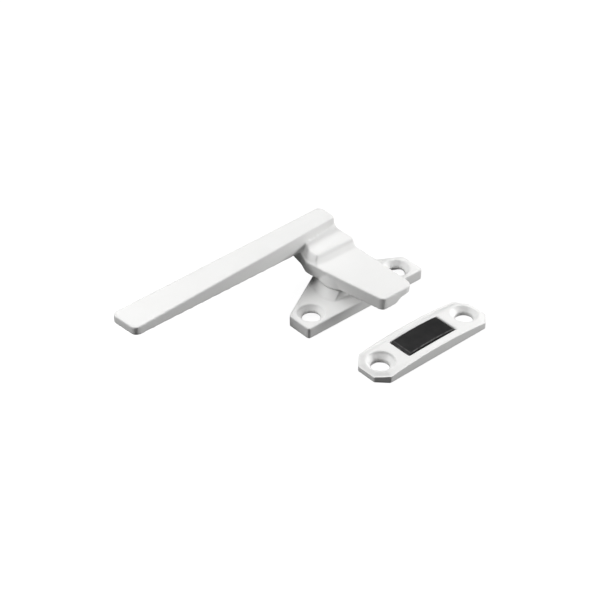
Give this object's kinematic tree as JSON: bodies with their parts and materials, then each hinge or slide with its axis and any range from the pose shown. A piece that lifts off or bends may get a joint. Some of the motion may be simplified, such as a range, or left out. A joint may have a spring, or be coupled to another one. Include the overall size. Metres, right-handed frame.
{
  "type": "casement window cam lock",
  "caption": "Cam-handle lock for a casement or awning window: a turning lever with a flat nose on a screw-down base, and a separate strike plate with a sliding pad.",
  "frame": {"origin": "on the base plate's mounting face, midway between its two screw holes", "axes": "+X along the base plate's screw-hole line, the handle's arm points to -X when closed; +Y from the screw-hole line towards the pivot, the cam nose points to -Y; +Z out of the mounting face"},
  "size_m": [0.1047, 0.068, 0.0192],
  "materials": {
    "white_enamel": "satin white powder coat on die-cast zinc",
    "black_nylon": "fine moulded grain",
    "zinc_steel": "zinc-plated steel",
    "natural_nylon": "natural moulded nylon"
  },
  "bodies": {
    "base": {"base_plate": "white_enamel", "bearing_washer": "natural_nylon"},
    "lever": {"handle": "white_enamel", "pivot_rivet": "zinc_steel", "flat_washer": "zinc_steel", "wave_washer": "zinc_steel"},
    "strike": {"strike_plate": "white_enamel", "strike_pad": "black_nylon"}
  },
  "joints": [
    {"name": "handle_turn", "type": "hinge", "parent": "base", "child": "lever", "pos_m": [0, 0.0048, 0], "axis": [0, 0, 1], "range_deg": [-93, 0]},
    {"name": "strike_place", "type": "slide", "parent": "base", "child": "strike", "axis": [0, 1, 0], "range_m": [0, 0.0175]}
  ]
}
